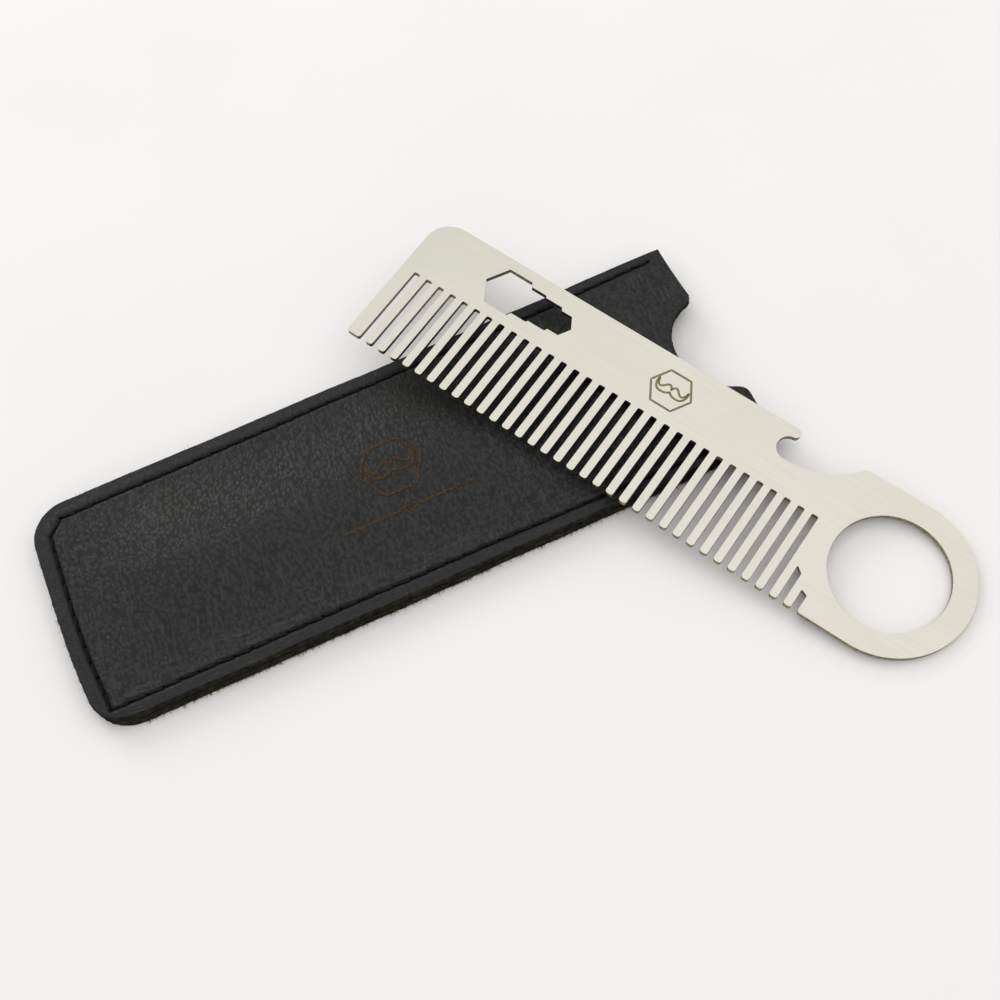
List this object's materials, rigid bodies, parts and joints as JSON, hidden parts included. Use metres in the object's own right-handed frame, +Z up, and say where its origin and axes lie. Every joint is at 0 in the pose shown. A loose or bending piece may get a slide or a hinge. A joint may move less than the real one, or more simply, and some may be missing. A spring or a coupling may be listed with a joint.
{
  "type": "beard comb with sheath",
  "caption": "Flat steel beard comb with finger ring, bottle-opener notch and stepped hexagon cut-out, lying across its stitched black leather sheath.",
  "frame": {"origin": "on the ground at the middle of the footprint of comb and sheath together", "axes": "+X along the comb from its end tooth towards its finger ring, +Y from the tooth tips towards the comb's back, +Z up from the surface that the sheath lies on"},
  "size_m": [0.169, 0.1522, 0.013],
  "materials": {
    "brushed_steel": "fine brushed along the comb, laser-cut edges left dull",
    "black_leather": "pebbled grain, semi-matt, raw cut edges",
    "black_thread": "bonded polyester thread, dull"
  },
  "bodies": {
    "sheath": {"sheath_front_panel": "black_leather", "sheath_back_panel": "black_leather", "needle_thread": "black_thread", "bobbin_thread": "black_thread"},
    "comb": {"comb_plate": "brushed_steel"}
  },
  "joints": [
    {"name": "comb_lift", "type": "slide", "parent": "sheath", "child": "comb", "axis": [0, 0, 1], "range_m": [0, 0.06]}
  ]
}
